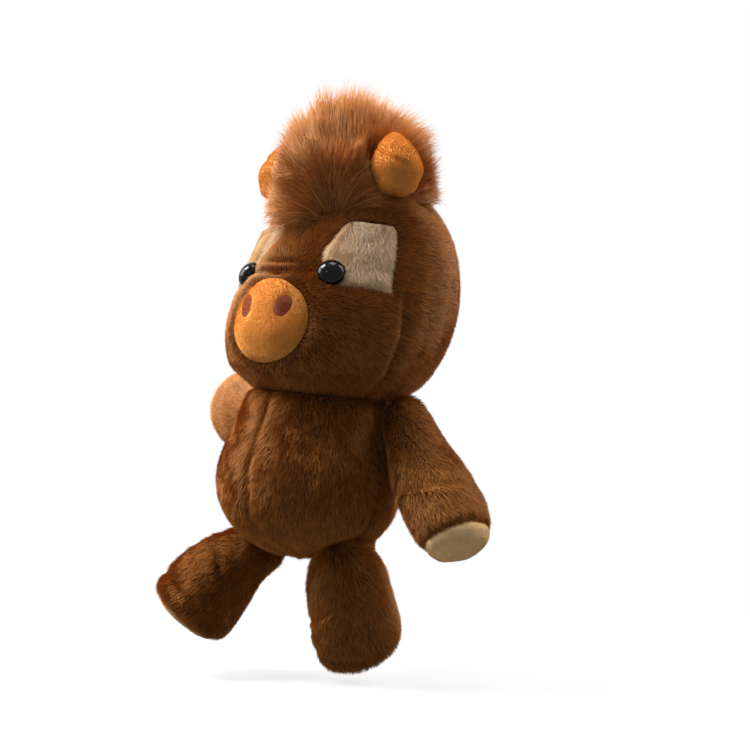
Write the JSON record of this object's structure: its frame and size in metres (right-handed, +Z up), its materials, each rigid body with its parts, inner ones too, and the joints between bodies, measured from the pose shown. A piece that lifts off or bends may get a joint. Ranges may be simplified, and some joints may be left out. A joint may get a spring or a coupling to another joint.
{
  "type": "plush cow",
  "caption": "Stuffed toy cow with brown pile, a long tuft of hair, soft horns, cream eye patches, an orange muzzle and a head and limbs that turn at their seams.",
  "frame": {"origin": "on the floor, under the middle of the box around the toy as it hangs", "axes": "+Z up, -Y the way the face looks, +X the toy's own left"},
  "size_m": [0.231, 0.1324, 0.3134],
  "materials": {
    "brown_pile": "short brown pile",
    "cream_pile": "short cream pile",
    "orange_pile": "very short orange pile",
    "red_pile": "very short red-brown pile",
    "long_pile": "long orange-brown pile",
    "eye": "polished black",
    "washer": "moulded white",
    "stuffing": "loose white fibre"
  },
  "bodies": {
    "torso": {"torso_front_left": "brown_pile", "torso_front_right": "brown_pile", "torso_back_left": "brown_pile", "torso_back_right": "brown_pile", "torso_stuffing": "stuffing", "tail_cord": "brown_pile", "tail_tuft": "long_pile"},
    "neck": {"neck_ball": "brown_pile"},
    "head": {"forehead_panel": "brown_pile", "cheek_left": "brown_pile", "cheek_right": "brown_pile", "head_side_left": "brown_pile", "head_side_right": "brown_pile", "eye_patch_left": "cream_pile", "eye_patch_right": "cream_pile", "muzzle_patch": "orange_pile", "nostril_left": "red_pile", "nostril_right": "red_pile", "eye_left": "eye", "eye_right": "eye", "eye_washer_left": "washer", "eye_washer_right": "washer", "head_stuffing": "stuffing", "hair_tuft": "long_pile"},
    "left_horn": {"horn_left": "orange_pile", "horn_stuffing_left": "stuffing"},
    "right_horn": {"horn_right": "orange_pile", "horn_stuffing_right": "stuffing"},
    "left_arm": {"arm_skin_left": "brown_pile", "paw_pad_left": "cream_pile", "arm_stuffing_left": "stuffing"},
    "right_arm": {"arm_skin_right": "brown_pile", "paw_pad_right": "cream_pile", "arm_stuffing_right": "stuffing"},
    "left_leg": {"leg_skin_left": "brown_pile", "foot_pad_left": "cream_pile", "leg_stuffing_left": "stuffing"},
    "right_leg": {"leg_skin_right": "brown_pile", "foot_pad_right": "cream_pile", "leg_stuffing_right": "stuffing"}
  },
  "joints": [
    {"name": "neck_turn", "type": "hinge", "parent": "torso", "child": "neck", "pos_m": [0.00958, -0.01202, 0.14975], "axis": [0.0872, 0.0868, 0.9924], "range_deg": [-25, 25], "stiffness_Nm_per_rad": 0.5},
    {"name": "head_nod", "type": "hinge", "parent": "neck", "child": "head", "pos_m": [0.00958, -0.01202, 0.14975], "axis": [0.9962, -0.0076, -0.0868], "range_deg": [-9, 9], "stiffness_Nm_per_rad": 0.5},
    {"name": "left_horn_flop", "type": "hinge", "parent": "head", "child": "left_horn", "pos_m": [0.05505, -0.00171, 0.26183], "axis": [-0.0366, 0.99, -0.1361], "range_deg": [-8, 8], "stiffness_Nm_per_rad": 0.01},
    {"name": "right_horn_flop", "type": "hinge", "parent": "head", "child": "right_horn", "pos_m": [-0.02788, -0.00434, 0.26496], "axis": [-0.0366, 0.99, -0.1361], "range_deg": [-8, 8], "stiffness_Nm_per_rad": 0.01},
    {"name": "left_arm_swing", "type": "hinge", "parent": "torso", "child": "left_arm", "pos_m": [0.05606, 0.00152, 0.13021], "axis": [-0.9962, 0.0076, 0.0868], "range_deg": [-45, 80], "stiffness_Nm_per_rad": 0.06},
    {"name": "right_arm_swing", "type": "hinge", "parent": "torso", "child": "right_arm", "pos_m": [-0.03938, 0.00224, 0.13853], "axis": [-0.9962, 0.0076, 0.0868], "range_deg": [-10, 115], "stiffness_Nm_per_rad": 0.06},
    {"name": "left_leg_swing", "type": "hinge", "parent": "torso", "child": "left_leg", "pos_m": [0.03336, -0.02003, 0.05819], "axis": [-0.9962, 0.0076, 0.0868], "range_deg": [-6, 65], "stiffness_Nm_per_rad": 0.08},
    {"name": "right_leg_swing", "type": "hinge", "parent": "torso", "child": "right_leg", "pos_m": [-0.02981, -0.01955, 0.06369], "axis": [-0.9962, 0.0076, 0.0868], "range_deg": [-60, 10], "stiffness_Nm_per_rad": 0.08}
  ]
}
